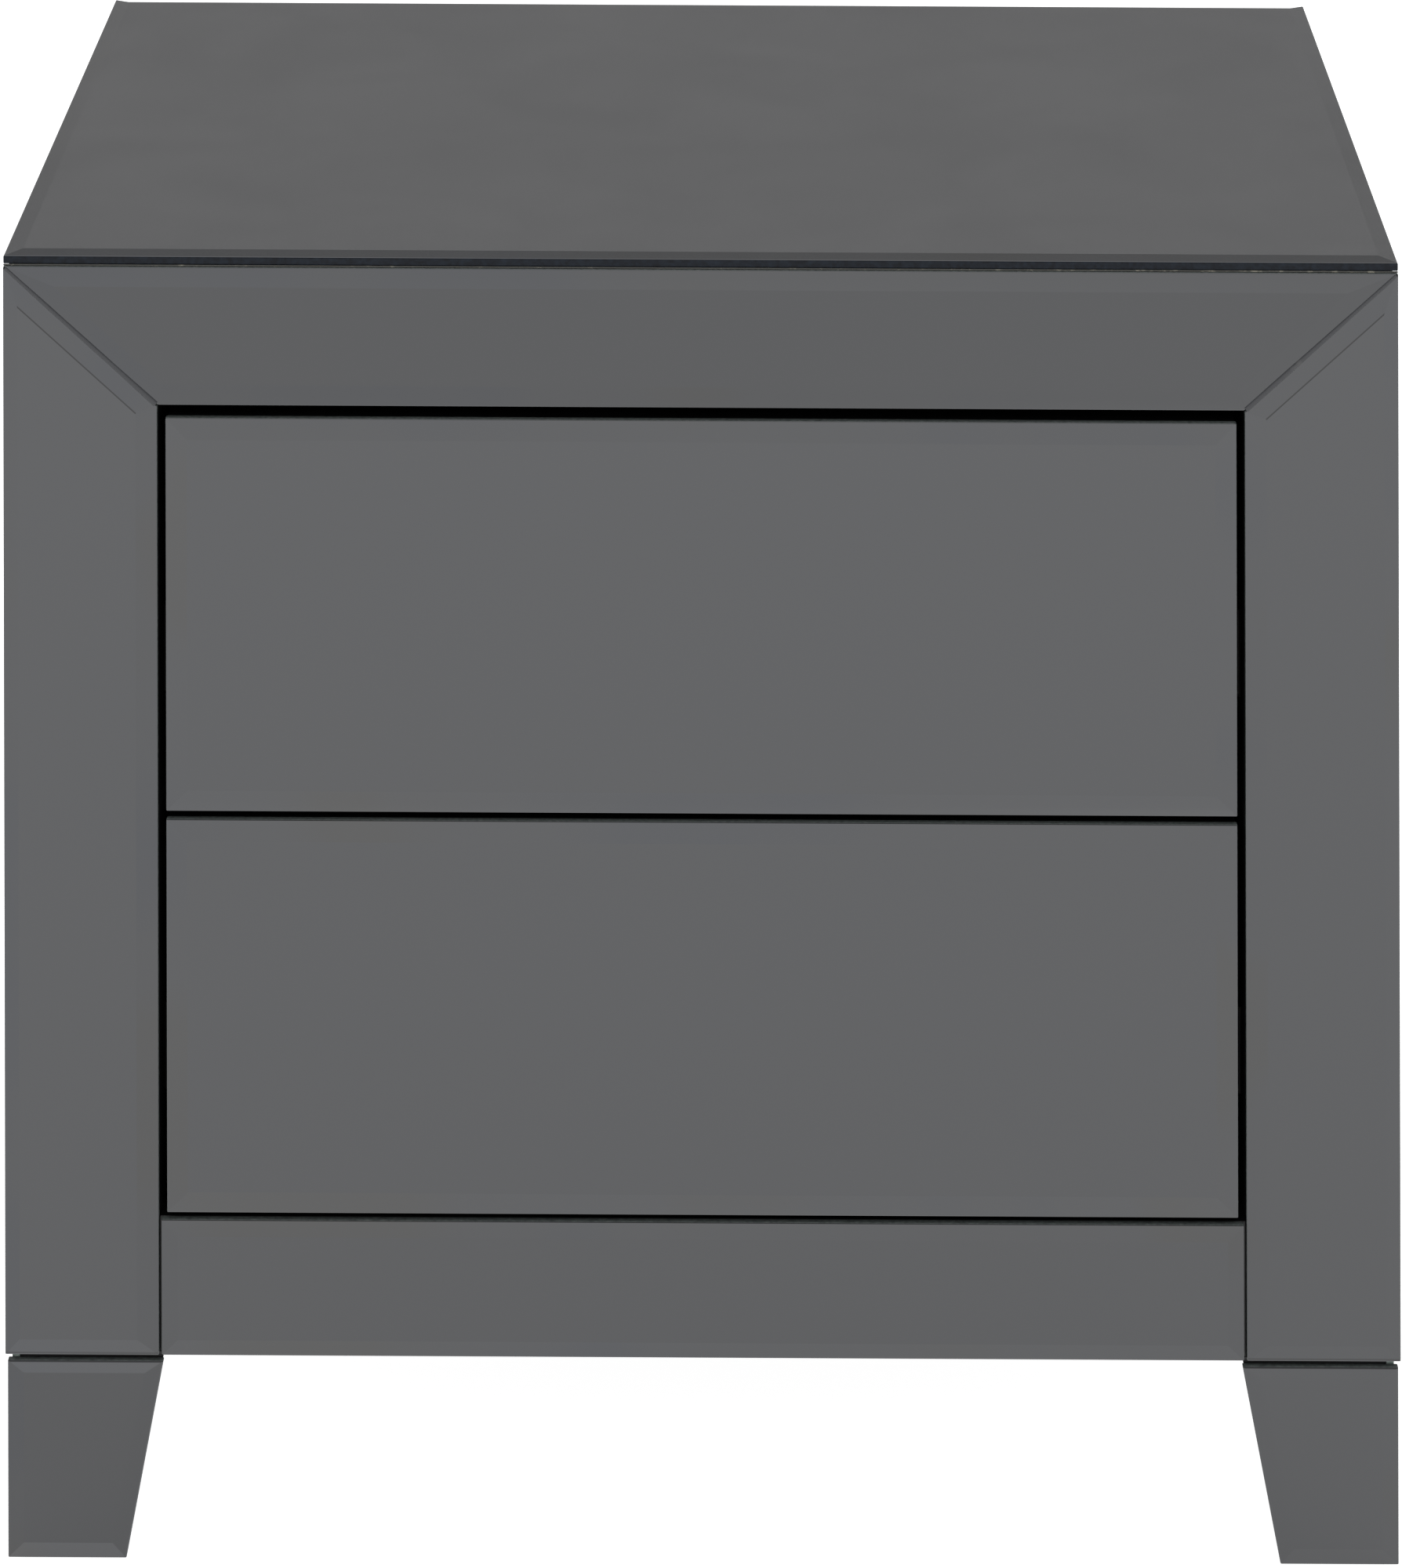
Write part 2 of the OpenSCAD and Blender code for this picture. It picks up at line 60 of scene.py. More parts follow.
def linearColour(hexValue):                      # sRGB hex to the linear colour that shaders want
    channels = [int(hexValue[i:i + 2], 16) / 255 for i in (1, 3, 5)]
    return [c / 12.92 if c <= 0.04045 else ((c + 0.055) / 1.055) ** 2.4 for c in channels] + [1.0]


def addNode(tree, kind, settings=None, links=None):   # settings and links are keyed by socket or property
    node = tree.nodes.new(kind)
    for key, value in (settings or {}).items():
        if key == "stops":                       # a ramp's (place from 0 to 1, colour) pairs
            elements = node.color_ramp.elements
            while len(elements) < len(value):
                elements.new(0.5)
            for element, (place, colour) in zip(elements, value):
                element.position = place
                element.color = linearColour(colour) if isinstance(colour, str) else colour
        elif isinstance(key, int) or key in node.inputs.keys():
            node.inputs[key].default_value = value
        else:
            setattr(node, key, value)
    for key, source in (links or {}).items():
        tree.links.new(source, node.inputs[key])
    return node


def startMaterial(name):                         # an empty material with a Principled shader on its output
    material = bpy.data.materials.new(name)
    material.use_nodes = True
    tree = material.node_tree
    tree.nodes.clear()
    shader = addNode(tree, "ShaderNodeBsdfPrincipled")
    addNode(tree, "ShaderNodeOutputMaterial", {}, {"Surface": shader.outputs["BSDF"]})
    return material, tree, shader


def useSettings(shader, settings):
    for key, value in settings.items():
        shader.inputs[key].default_value = value


def linkTo(tree, shader, links):
    for key, source in links.items():
        tree.links.new(source, shader.inputs[key])


# Materials

silveredGlass = {
    "silver": "#37383a",            # what comes back off the silvering through grey glass
    "polish": (0.012, 0.0135),      # roughness from clean to lightly wiped
    "smearSize": 60 * mm,
    "waveSize": 170 * mm,           # float glass is never quite flat
    "waveDepth": 0.02 * mm,
    "streak": 110 * mm,             # bevels split the light a little, in faint warm and cool stretches
    "cool": "#f6f9ff",
    "warm": "#fffcf5",
}


def makeSilveredGlass():             # back-silvered grey float: a dim mirror under a clear hard gloss
    s = silveredGlass
    material, tree, shader = startMaterial("silvered smoked float glass")
    place = addNode(tree, "ShaderNodeTexCoord").outputs["Object"]
    # painted reflection and shade: one factor per face scales the silver's colour
    tone = addNode(tree, "ShaderNodeAttribute", {"attribute_name": "glassTone"}).outputs["Fac"]
    tinted = addNode(tree, "ShaderNodeVectorMath", {"operation": "SCALE", 0: linearColour(s["silver"])[:3]},
                     {"Scale": tone}).outputs[0]
    bevel = addNode(tree, "ShaderNodeAttribute", {"attribute_name": "bevelShare"}).outputs["Fac"]
    slow = addNode(tree, "ShaderNodeTexNoise", {"Scale": 1 / s["streak"], "Detail": 2.0},
                   {"Vector": place}).outputs["Fac"]
    hues = [(0.36, s["cool"]), (0.46, "#ffffff"), (0.56, "#ffffff"), (0.64, s["warm"])]
    split = addNode(tree, "ShaderNodeValToRGB", {"stops": hues}, {"Fac": slow}).outputs["Color"]
    coloured = addNode(tree, "ShaderNodeMix", {"data_type": "RGBA", "blend_type": "MULTIPLY"},
                       {0: bevel, 6: tinted, 7: split}).outputs[2]
    smear = addNode(tree, "ShaderNodeTexNoise",
                    {"Scale": 1 / s["smearSize"], "Detail": 4.0, "Distortion": 0.6},
                    {"Vector": place}).outputs["Fac"]
    rough = addNode(tree, "ShaderNodeMapRange",
                    {"From Min": 0.35, "From Max": 0.75,
                     "To Min": s["polish"][0], "To Max": s["polish"][1]},
                    {"Value": smear}).outputs["Result"]
    wave = addNode(tree, "ShaderNodeTexNoise", {"Scale": 1 / s["waveSize"], "Detail": 1.0},
                   {"Vector": place}).outputs["Fac"]
    bump = addNode(tree, "ShaderNodeBump", {"Strength": 1.0, "Distance": s["waveDepth"]}, {"Height": wave})
    useSettings(shader, {"Metallic": 1.0, "Coat Weight": 1.0, "Coat Roughness": 0.012, "Coat IOR": 1.52,
                         "Specular Tint": (0.5, 0.5, 0.5, 1)})   # under glass it whitens less at a slant
    linkTo(tree, shader, {"Base Color": coloured, "Roughness": rough, "Normal": bump.outputs["Normal"],
                          "Coat Normal": bump.outputs["Normal"]})
    return material


def makeGlassEdge(name, deep, pale, shine):   # ground glass edge: the light that goes in is mostly lost
    material, tree, shader = startMaterial(name)
    place = addNode(tree, "ShaderNodeTexCoord").outputs["Object"]
    grind = addNode(tree, "ShaderNodeTexNoise", {"Scale": 1 / (1.6 * mm), "Detail": 3.0},
                    {"Vector": place}).outputs["Fac"]
    chips = addNode(tree, "ShaderNodeTexNoise", {"Scale": 1 / (0.5 * mm), "Detail": 2.0},
                    {"Vector": place}).outputs["Fac"]
    bump = addNode(tree, "ShaderNodeBump", {"Strength": 0.4, "Distance": 0.05 * mm}, {"Height": chips})
    useSettings(shader, {"IOR": 1.52, "Roughness": 0.42, "Specular IOR Level": shine})
    colour = addNode(tree, "ShaderNodeValToRGB", {"stops": [(0.3, deep), (0.75, pale)]}, {"Fac": grind})
    linkTo(tree, shader, {"Base Color": colour.outputs["Color"], "Normal": bump.outputs["Normal"]})
    return material


backingPaint = {"dark": "#3f4447", "light": "#4b5154", "mottle": 9 * mm}


def makeBackingPaint():              # grey protective paint rolled over the silvering
    s = backingPaint
    material, tree, shader = startMaterial("mirror backing paint")
    place = addNode(tree, "ShaderNodeTexCoord").outputs["Object"]
    mottle = addNode(tree, "ShaderNodeTexNoise", {"Scale": 1 / s["mottle"], "Detail": 3.0},
                     {"Vector": place}).outputs["Fac"]
    useSettings(shader, {"Roughness": 0.6})
    colour = addNode(tree, "ShaderNodeValToRGB", {"stops": [(0.3, s["dark"]), (0.7, s["light"])]},
                     {"Fac": mottle})
    linkTo(tree, shader, {"Base Color": colour.outputs["Color"]})
    return material


def makePaintedBoard(name, dark, light, grain, roughness, grainDepth):   # sprayed or foiled fibreboard
    material, tree, shader = startMaterial(name)
    place = addNode(tree, "ShaderNodeTexCoord").outputs["Object"]
    cloud = addNode(tree, "ShaderNodeTexNoise", {"Scale": 1 / (60 * mm), "Detail": 4.0},
                    {"Vector": place}).outputs["Fac"]
    pebble = addNode(tree, "ShaderNodeTexNoise", {"Scale": 1 / grain, "Detail": 2.0},
                     {"Vector": place}).outputs["Fac"]
    rough = addNode(tree, "ShaderNodeMapRange", {"To Min": roughness - 0.07, "To Max": roughness + 0.07},
                    {"Value": cloud}).outputs["Result"]
    bump = addNode(tree, "ShaderNodeBump", {"Strength": 0.5, "Distance": grainDepth}, {"Height": pebble})
    colour = addNode(tree, "ShaderNodeValToRGB", {"stops": [(0.3, dark), (0.7, light)]}, {"Fac": cloud})
    linkTo(tree, shader, {"Base Color": colour.outputs["Color"], "Roughness": rough,
                          "Normal": bump.outputs["Normal"]})
    return material


drawerFoil = {"dark": "#2c2c2e", "light": "#444446", "thread": 0.8 * mm, "depth": 0.06 * mm}


def makeDrawerFoil():                # linen-embossed foil: a fine woven look on the drawer bottoms
    s = drawerFoil
    material, tree, shader = startMaterial("linen embossed foil on hardboard")
    place = addNode(tree, "ShaderNodeTexCoord").outputs["Object"]
    period = math.pi / 10 / s["thread"]          # a wave texture repeats every pi / 10 of its own units
    slub = addNode(tree, "ShaderNodeTexNoise", {"Scale": 1 / (6 * s["thread"]), "Detail": 2.0},
                   {"Vector": place}).outputs["Fac"]
    warp = addNode(tree, "ShaderNodeTexWave", {"bands_direction": "X", "Scale": period, "Distortion": 0.4},
                   {"Vector": place}).outputs["Fac"]
    weft = addNode(tree, "ShaderNodeTexWave", {"bands_direction": "Y", "Scale": period, "Distortion": 0.4},
                   {"Vector": place}).outputs["Fac"]
    cloth = addNode(tree, "ShaderNodeMath", {"operation": "MAXIMUM"}, {0: warp, 1: weft}).outputs[0]
    uneven = addNode(tree, "ShaderNodeMath", {"operation": "MULTIPLY"}, {0: cloth, 1: slub}).outputs[0]
    bump = addNode(tree, "ShaderNodeBump", {"Strength": 0.7, "Distance": s["depth"]}, {"Height": uneven})
    useSettings(shader, {"Roughness": 0.5})
    colour = addNode(tree, "ShaderNodeValToRGB", {"stops": [(0.1, s["dark"]), (0.7, s["light"])]},
                     {"Fac": uneven})
    linkTo(tree, shader, {"Base Color": colour.outputs["Color"], "Normal": bump.outputs["Normal"]})
    return material


def makePlatedSteel(name, dark, light, roughness, streak):   # a soft metal gloss, cloudy along the roll
    material, tree, shader = startMaterial(name)
    place = addNode(tree, "ShaderNodeTexCoord").outputs["Object"]
    rolled = addNode(tree, "ShaderNodeMapping", {"Scale": (1, 0.08, 1)},
                     {"Vector": place}).outputs["Vector"]
    lines = addNode(tree, "ShaderNodeTexNoise", {"Scale": 1 / streak, "Detail": 4.0},
                    {"Vector": rolled}).outputs["Fac"]
    cloud = addNode(tree, "ShaderNodeTexNoise", {"Scale": 1 / (12 * mm), "Detail": 3.0},
                    {"Vector": place}).outputs["Fac"]
    mixed = addNode(tree, "ShaderNodeMath", {"operation": "MULTIPLY"}, {0: lines, 1: cloud}).outputs[0]
    tone = addNode(tree, "ShaderNodeMath", {"operation": "SQRT"}, {0: mixed}).outputs[0]
    rough = addNode(tree, "ShaderNodeMapRange", {"To Min": roughness - 0.1, "To Max": roughness + 0.1},
                    {"Value": lines}).outputs["Result"]
    bump = addNode(tree, "ShaderNodeBump", {"Strength": 0.3, "Distance": 0.02 * mm}, {"Height": lines})
    useSettings(shader, {"Metallic": 1.0})
    colour = addNode(tree, "ShaderNodeValToRGB", {"stops": [(0.35, dark), (0.65, light)]}, {"Fac": tone})
    linkTo(tree, shader, {"Base Color": colour.outputs["Color"], "Roughness": rough,
                          "Normal": bump.outputs["Normal"]})
    return material


latchPlastic = {"dark": "#85878a", "light": "#95979a", "spark": 0.35 * mm}


def makeMouldedPlastic():            # acetal moulded in a spark-eroded tool: an even, faintly sandy sheen
    s = latchPlastic
    material, tree, shader = startMaterial("moulded grey acetal")
    place = addNode(tree, "ShaderNodeTexCoord").outputs["Object"]
    sand = addNode(tree, "ShaderNodeTexNoise", {"Scale": 1 / s["spark"], "Detail": 2.0},
                   {"Vector": place}).outputs["Fac"]
    flow = addNode(tree, "ShaderNodeTexNoise", {"Scale": 1 / (14 * mm), "Detail": 3.0, "Distortion": 1.2},
                   {"Vector": place}).outputs["Fac"]
    bump = addNode(tree, "ShaderNodeBump", {"Strength": 0.35, "Distance": 0.03 * mm}, {"Height": sand})
    useSettings(shader, {"Roughness": 0.42, "IOR": 1.48})
    colour = addNode(tree, "ShaderNodeValToRGB", {"stops": [(0.3, s["dark"]), (0.7, s["light"])]},
                     {"Fac": flow})
    linkTo(tree, shader, {"Base Color": colour.outputs["Color"], "Normal": bump.outputs["Normal"]})
    return material


padFelt = {"dark": "#1f1f21", "light": "#4a4a4d", "fibre": 0.5 * mm}


def makeFelt():                      # pressed wool felt: matt, fuzzy, with pale fibres lying every way
    s = padFelt
    material, tree, shader = startMaterial("pressed wool felt")
    place = addNode(tree, "ShaderNodeTexCoord").outputs["Object"]
    fibres = addNode(tree, "ShaderNodeTexNoise", {"Scale": 1 / s["fibre"], "Detail": 6.0, "Roughness": 0.7,
                                                   "Distortion": 3.0}, {"Vector": place}).outputs["Fac"]
    bump = addNode(tree, "ShaderNodeBump", {"Strength": 1.0, "Distance": 0.2 * mm}, {"Height": fibres})
    useSettings(shader, {"Roughness": 0.95, "Sheen Weight": 0.4, "Sheen Roughness": 0.5})
    colour = addNode(tree, "ShaderNodeValToRGB", {"stops": [(0.3, s["dark"]), (0.75, s["light"])]},
                     {"Fac": fibres})
    linkTo(tree, shader, {"Base Color": colour.outputs["Color"], "Normal": bump.outputs["Normal"]})
    return material


clearBead = {"clear": "#3f3f3b", "cloudy": "#7b786c", "speck": 3.5 * mm,
             "cloudyFrom": 20 * mm, "cloudyTo": 240 * mm, "cloudiness": 0.09}   # cloudier to the right
mitreBead = {"clear": "#303134", "cloudy": "#3c3c3d", "speck": 8 * mm,
             "cloudyFrom": 0.0, "cloudyTo": 300 * mm, "cloudiness": 0.05}


def makeAdhesive(name, s):           # mirror adhesive with dust in it: dark, with pale and yellowish specks
    material, tree, shader = startMaterial(name)
    place = addNode(tree, "ShaderNodeTexCoord").outputs["Object"]
    across = addNode(tree, "ShaderNodeSeparateXYZ", {}, {"Vector": place}).outputs["X"]
    share = addNode(tree, "ShaderNodeMapRange", {"From Min": s["cloudyFrom"], "From Max": s["cloudyTo"],
                                                 "To Min": 0.0, "To Max": s["cloudiness"]},
                    {"Value": across}).outputs["Result"]
    specks = addNode(tree, "ShaderNodeTexNoise",
                     {"Scale": 1 / s["speck"], "Detail": 5.0, "Roughness": 0.65},
                     {"Vector": place}).outputs["Fac"]
    pale = addNode(tree, "ShaderNodeMath", {"operation": "ADD"}, {0: specks, 1: share}).outputs[0]
    colour = addNode(tree, "ShaderNodeValToRGB", {"stops": [(0.6, s["clear"]), (0.72, s["cloudy"])]},
                     {"Fac": pale})
    useSettings(shader, {"Roughness": 0.35, "IOR": 1.45})
    linkTo(tree, shader, {"Base Color": colour.outputs["Color"]})
    return material


print("materials")
mirrorFace = makeSilveredGlass()
polishedEdge = makeGlassEdge("polished edge of grey glass", "#0a0d13", "#181f28", 0.14)   # blue-black
seamedEdge = makeGlassEdge("ground edge of grey glass", "#454a49", "#656b69", 0.25)   # greyer, chalkier
cutEdgeWithPaintedLight = makeGlassEdge("cut edge of grey glass", "#82918a", "#a3afa8", 0.3)   # pale and greenish: the glass edge's own tint, made paler still as painted light on the shaded edge
mirrorBack = makeBackingPaint()
blackPaint = makePaintedBoard("satin black paint on fibreboard",
                              "#0c0c0d", "#111112", 1.2 * mm, 0.45, 0.04 * mm)
backFoil = makePaintedBoard("black foil on hardboard",
                            "#141415", "#1b1b1c", 2.2 * mm, 0.55, 0.08 * mm)
boxLacquer = makePaintedBoard("black lacquer on fibreboard",
                              "#2f2f31", "#3a3a3c", 0.9 * mm, 0.4, 0.03 * mm)
drawerBottomFoil = makeDrawerFoil()
blackZinc = makePlatedSteel("black zinc plated steel", "#0f1013", "#1d1b19", 0.36, 0.5 * mm)
ballSteel = makePlatedSteel("polished bearing steel", "#a9abae", "#d0d2d4", 0.16, 0.4 * mm)
screwZinc = makePlatedSteel("satin zinc plated steel", "#808387", "#b4b6b9", 0.38, 0.5 * mm)
greyAcetal = makeMouldedPlastic()
woolFelt = makeFelt()
clearAdhesive = makeAdhesive("clear mirror adhesive", clearBead)
greyAdhesive = makeAdhesive("grey mirror adhesive", mitreBead)


# Pieces

def nodeMesh(node):                  # a CAD node's mesh with its flat faces made whole again
    mesh = bmesh.new()
    mesh.from_mesh(nodes[node].data)
    bmesh.ops.remove_doubles(mesh, verts=mesh.verts, dist=0.002 * mm)
    bmesh.ops.dissolve_limit(mesh, angle_limit=math.radians(0.2), verts=mesh.verts, edges=mesh.edges)
    return mesh


roundBelow = 35                      # degrees: flatter corners than this shade as round on turned pieces


def addObject(name, mesh, materials, body, smoothBelow=0):   # smoothBelow in degrees
    data = bpy.data.meshes.new(name)
    mesh.to_mesh(data)
    mesh.free()
    piece = bpy.data.objects.new(name, data)
    scene.collection.objects.link(piece)
    for material in materials:
        data.materials.append(material)
    if smoothBelow:
        data.shade_smooth()
        data.set_sharp_from_angle(angle=math.radians(smoothBelow))
    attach(piece, body)
    return piece


def addPiece(name, mesh, materials, node, smoothBelow=0):   # stands for a CAD node and rides on its body
    piece = addObject(name, mesh, materials, bodyOf[node], smoothBelow)
    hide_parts(node)


# The brightness of each sheet and bevel is painted reflection and shade, matched one by one in the front
# view only. Sheets cut from
# one glass would differ less, so other views show differences that a real cabinet may not have.
mirrorShape = {
    "arris": 0.4 * mm,
    "front": 0.8,                    # faces turned this far outward are silvered
    "back": -0.9,                    # and those turned this far inward painted
    "bevel": 0.95,                   # the bevels face outward more than this and the arrises less
    "slant": 0.03,                   # a mitre bevel leans at least this far both across and up
    "steepest": 0.3,                 # and less far than an arris
    "stileMargin": 1.2 * mm,         # painted shade of the gap between stile and foot, along the ends that meet there
    "footMargin": 0.7 * mm,
    "marginTone": 0.5,
    "crest": 0.55 * mm,              # width of a painted shade line: the dark line where the stile's mitre bevel meets its face
    "crestTone": 0.13,
    # painted reflection: each bevel is painted a little lighter or darker according to the way it leans
    "lean": {"up": 0.94, "down": 1.05, "side": 1.0, "front": 1.04},
    # painted reflection and shade: whole sheets painted lighter or darker
    "sheetTone": {
        "top_mirror": 1.5,
        "left_stile_mirror": 0.98,
        "right_stile_mirror": 0.97,
        "top_rail_mirror": 0.74,
        "bottom_rail_mirror": 0.97,
        "front_left_foot_mirror": 0.81,
        "front_right_foot_mirror": 0.95,
    },
    "bevelTone": {
        ("top_rail_mirror", "up"): 1.34,
        ("left_stile_mirror", "down"): 1.14,
        ("left_stile_mirror", "side"): 0.96,
        ("front_left_foot_mirror", "up"): 1.43,
        ("front_left_foot_mirror", "down"): 1.45,
        ("front_right_foot_mirror", "up"): 0.93,
        ("upper_drawer_mirror", "down"): 1.04,
        ("lower_drawer_mirror", "down"): 1.05,
        ("bottom_rail_mirror", "down"): 1.09,
        ("bottom_rail_mirror", "side"): 0.95,
    },
}


def outwardAxis(node):
    if node == "top_mirror":
        return Vector((0, 0, 1))
    if "side_mirror" in node:
        return Vector((-1 if "left" in node else 1, 0, 0))
    return Vector((0, -1, 0))


def bevelTone(node, face):           # painted reflection: how much lighter or darker one bevel is painted than the middle of its sheet
    lean = "up" if face.normal.z > 0.05 else "down" if face.normal.z < -0.05 else "side"
    if node == "top_mirror" and face.normal.y < -0.01:
        lean = "front"
    return mirrorShape["lean"][lean] * mirrorShape["bevelTone"].get((node, lean), 1.0)


def isMitreCrest(edge, outward):     # between the flat face and a bevel that slants both across and up
    s = mirrorShape
    leans = [f.normal - f.normal.dot(outward) * outward for f in edge.link_faces]
    slanting = [v for v in leans if min(abs(v.x), abs(v.z)) > s["slant"] and v.length < s["steepest"]]
    return bool(slanting) and min(abs(v.x) + abs(v.z) for v in leans) < s["slant"] / 3


def paintedShadeStrip(node):                  # (where to cut, lowest, highest) for the painted shade along the end that meets stile or foot
    low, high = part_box(node)
    if "stile" in node:
        cut = low.z + mirrorShape["stileMargin"]
        return cut, low.z, cut
    if "foot_mirror" in node:
        cut = high.z - mirrorShape["footMargin"]
        return cut, cut, high.z
    return None


def addMirror(node):                 # glass with its bevels, fine arrises and a painted back
    s = mirrorShape
    outward = outwardAxis(node)
    mesh = nodeMesh(node)
    # painted reflection and shade, kept per face for the mirror material
    tone = mesh.faces.layers.float.new("glassTone")
    share = mesh.faces.layers.float.new("bevelShare")
    crests = [e for e in mesh.edges if "stile" in node and isMitreCrest(e, outward)]
    crestFaces = set()
    if crests:
        crestFaces = set(bmesh.ops.bevel(mesh, geom=crests, offset=s["crest"] / 2, segments=1,
                                         affect="EDGES")["faces"])
    paintedShadeBand = paintedShadeStrip(node)
    if paintedShadeBand:
        bmesh.ops.bisect_plane(mesh, geom=mesh.verts[:] + mesh.edges[:] + mesh.faces[:],
                               plane_co=(0, 0, paintedShadeBand[0]), plane_no=(0, 0, 1))
    # each face gets its painted reflection and shade: a dark crest, and lighter or darker bevels and sheets
    for face in mesh.faces:
        facing = face.normal.dot(outward)
        isFlat = facing > 0.9999
        face[tone] = s["crestTone"] if face in crestFaces else 1.0 if isFlat else bevelTone(node, face)
        face[tone] *= s["sheetTone"].get(node, 1.0)
        face[share] = 0.0 if isFlat else 1.0
        # painted shade: the band next to the gap between stile and foot is darkened
        if paintedShadeBand and paintedShadeBand[1] < face.calc_center_median().z < paintedShadeBand[2]:
            face[tone] *= s["marginTone"]
    rim = [e for e in mesh.edges if e.calc_face_angle() > math.radians(5)
           and any(abs(f.normal.dot(outward)) < 0.1 for f in e.link_faces)]
    bmesh.ops.bevel(mesh, geom=rim, offset=s["arris"], segments=2, profile=0.5,
                    affect="EDGES", clamp_overlap=True)
    for face in mesh.faces:
        facing = face.normal.dot(outward)
        face.material_index = 0 if facing > s["front"] else 2 if facing < s["back"] else 1
        if s["front"] < facing < s["bevel"]:
            face[tone] = bevelTone(node, face)
    # the foot side mirrors get the pale edge, which is partly painted light
    edge = polishedEdge if node == "top_mirror" else cutEdgeWithPaintedLight if "foot_side" in node else seamedEdge
    addPiece(node + "_glass", mesh, [mirrorFace, edge, mirrorBack], node)


def easeEdges(mesh, ease, segments=3):   # takes the sharpness off, as sanding, rolling or moulding does
    sharp = [e for e in mesh.edges if len(e.link_faces) == 2 and e.calc_face_angle() > math.radians(30)]
    bmesh.ops.bevel(mesh, geom=sharp, offset=ease, segments=segments, profile=0.5,
                    affect="EDGES", clamp_overlap=True)


def addBoard(node, material, ease):
    mesh = nodeMesh(node)
    easeEdges(mesh, ease)
    addPiece(node + "_board", mesh, [material], node)


def addTurned(node, suffix, material, ease):   # screws and mouldings, whose round parts shade as round
    mesh = nodeMesh(node)
    easeEdges(mesh, ease, 2)
    addPiece(node + suffix, mesh, [material], node, roundBelow)


def islands(mesh):                   # the separate solids in a mesh, as lists of faces
    left = set(mesh.faces)
    while left:
        group, edge = [], [left.pop()]
        while edge:
            face = edge.pop()
            group.append(face)
            near = {f for e in face.edges for f in e.link_faces} & left
            left -= near
            edge.extend(near)
        yield group


def addBallCages(node):              # a pressed cage with bright balls between the two rails of each slide
    mesh = nodeMesh(node)
    for group in islands(mesh):
        depths = [v.co.y for f in group for v in f.verts]
        isBall = max(depths) - min(depths) < 5 * mm
        for face in group:
            face.material_index = 1 if isBall else 0
    addPiece(node + "_running", mesh, [blackZinc, ballSteel], node, roundBelow)


print("mirrors")
for node in nodes:
    if node.endswith("_mirror"):
        addMirror(node)

print("boards")
cabinetBoards = ["top_panel", "bottom_panel", "left_side_panel", "right_side_panel", "left_runner_panel",
                 "right_runner_panel", "left_stile", "right_stile", "top_rail", "bottom_rail"]
for node in cabinetBoards + [n for n in nodes if n.endswith("_foot")]:
    addBoard(node, blackPaint, 0.4 * mm)
addBoard("back_panel", backFoil, 0.3 * mm)
addBoard("foot_pads", woolFelt, 0.4 * mm)
for level in ["upper", "lower"]:
    addBoard(level + "_drawer_front", blackPaint, 0.4 * mm)
    addBoard(level + "_drawer_bottom", drawerBottomFoil, 0.2 * mm)
    for board in ["inner_front", "left_side", "right_side", "back"]:
        addBoard(level + "_drawer_" + board, boxLacquer, 0.6 * mm)

print("slides, latches and screws")
for node in nodes:
    if node.endswith("_rail") and node not in cabinetBoards:
        addTurned(node, "_channel", blackZinc, 0.2 * mm)
    if node.endswith("_screws"):
        addTurned(node, "_heads", screwZinc, 0.12 * mm)
    if "_latch_" in node:
        addTurned(node, "_moulding", greyAcetal, 0.5 * mm)
    if node.endswith("_ball_cages"):
        addBallCages(node)


def addBead(name, s, start, end, material):   # a lumpy line of adhesive, thinning from start to end
    along = (end - start).normalized()
    out = Vector((0, -1, 0))
    side = along.cross(out)
    stations = round((end - start).length / s["step"])
    mesh = bmesh.new()
    rings = []
    for i in range(stations + 1):
        centre = start.lerp(end, i / stations)
        lump = noise.noise(Vector((centre.x / s["lumps"], 0, 0)))
        taper = 1 + (s["taper"] - 1) * i / stations
        proud = s["proud"] * (1 + s["proudVaries"] * lump) * taper
        wide = s["wide"] * (1 + s["wideVaries"] * lump) * taper
        angles = [2 * math.pi * k / s["sides"] for k in range(s["sides"])]
        rings.append([mesh.verts.new(centre + out * proud * math.cos(a) + side * wide * math.sin(a))
                      for a in angles])
    for ring, following in zip(rings, rings[1:]):
        for k in range(s["sides"]):
            after = (k + 1) % s["sides"]
            mesh.faces.new((ring[k], ring[after], following[after], following[k]))
    mesh.faces.new(reversed(rings[0]))
    mesh.faces.new(rings[-1])
    bmesh.ops.recalc_face_normals(mesh, faces=mesh.faces)
    addObject(name, mesh, [material], bodyOf["top_mirror"], beadRound)


beadRound = 60                       # degrees
topBead = {"step": 2.5 * mm, "proud": 0.4 * mm, "proudVaries": 0.4, "wide": 0.36 * mm, "wideVaries": 0.0,
           "taper": 1.0, "lumps": 9 * mm, "sides": 10, "back": 0.05 * mm, "end": 0.1 * mm}


def addTopBead():                    # shows between the top mirror and the frame's upper edge
    low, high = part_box("top_mirror")
    middle = (low.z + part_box("top_rail_mirror")[1].z) / 2
    left = Vector((low.x + topBead["end"], low.y + topBead["back"], middle))
    right = Vector((high.x - topBead["end"], left.y, middle))
    addBead("top_mirror_adhesive", topBead, left, right, clearAdhesive)


mitreFill = {"step": 2.5 * mm, "proud": 0.3 * mm, "proudVaries": 0.4, "wide": 1.1 * mm, "wideVaries": 0.12,
             "taper": 0.62, "lumps": 14 * mm, "sides": 12, "sunk": 0.8 * mm, "end": 0.6 * mm}


